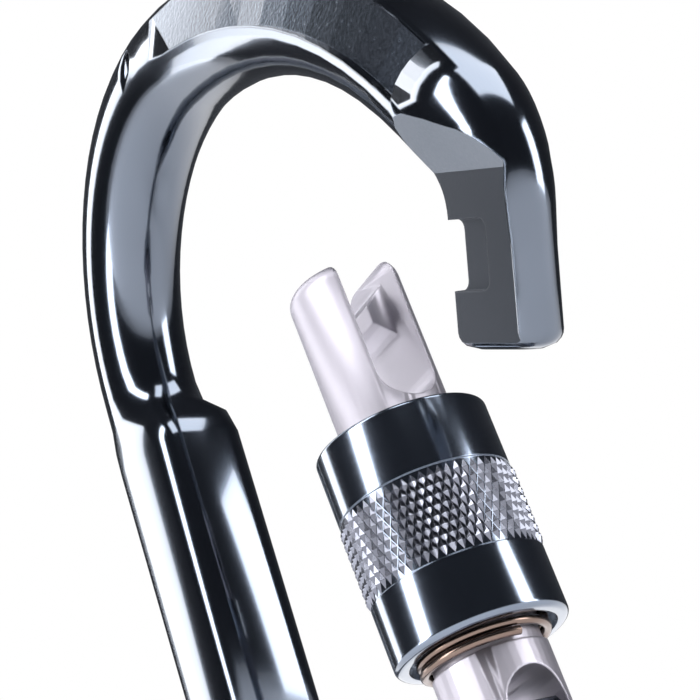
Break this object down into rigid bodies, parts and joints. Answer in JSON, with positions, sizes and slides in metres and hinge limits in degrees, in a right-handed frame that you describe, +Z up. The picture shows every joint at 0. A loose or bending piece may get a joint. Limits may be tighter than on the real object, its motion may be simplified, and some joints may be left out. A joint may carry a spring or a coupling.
{
  "type": "locking carabiner",
  "caption": "Screw-gate locking carabiner: forged pear-shaped frame with a sprung hinged gate and a knurled sleeve that screws over the nose.",
  "frame": {"origin": "centre of the bounding box", "axes": "+Z up along the spine toward the rope end, +X from the spine to the gate, Y across the bar"},
  "size_m": [0.0772, 0.0164, 0.1152],
  "materials": {
    "gunmetal_aluminium": "polished and anodised dark gunmetal, satin on the machined blade",
    "clear_anodised_aluminium": "bead-blasted, clear anodised",
    "black_anodised_aluminium": "turned, polished and anodised near black",
    "tempered_steel": "tempered spring wire, dark bronze",
    "stainless_steel": "bright stainless steel"
  },
  "bodies": {
    "frame": {"body": "gunmetal_aluminium"},
    "gate": {"gate": "clear_anodised_aluminium", "hinge_rivet": "stainless_steel", "gate_spring": "stainless_steel"},
    "plunger": {"spring_plunger": "stainless_steel"},
    "ring": {"stop_ring": "tempered_steel"},
    "sleeve": {"locking_sleeve": "black_anodised_aluminium"}
  },
  "joints": [
    {"name": "gate_hinge", "type": "hinge", "parent": "frame", "child": "gate", "pos_m": [0.01183, 0, -0.02825], "axis": [0, 1, 0], "range_deg": [0, 30], "stiffness_Nm_per_rad": 0.06, "springref_deg": 51.57},
    {"name": "plunger_slide", "type": "slide", "parent": "gate", "child": "plunger", "axis": [-0.1132, 0, 0.9936], "range_m": [-0.001, 0]},
    {"name": "sleeve_turn", "type": "hinge", "parent": "gate", "child": "ring", "pos_m": [0.01183, 0, -0.02825], "axis": [-0.1132, 0, 0.9936], "range_deg": [0, 900]},
    {"name": "sleeve_travel", "type": "slide", "parent": "ring", "child": "sleeve", "axis": [-0.1132, 0, 0.9936], "range_m": [0, 0.0085]}
  ],
  "couplings": [
    {"joint": "plunger_slide", "follows": "gate_hinge", "m_per_rad": -0.0019},
    {"joint": "sleeve_travel", "follows": "sleeve_turn", "m_per_rad": 0.000541}
  ]
}
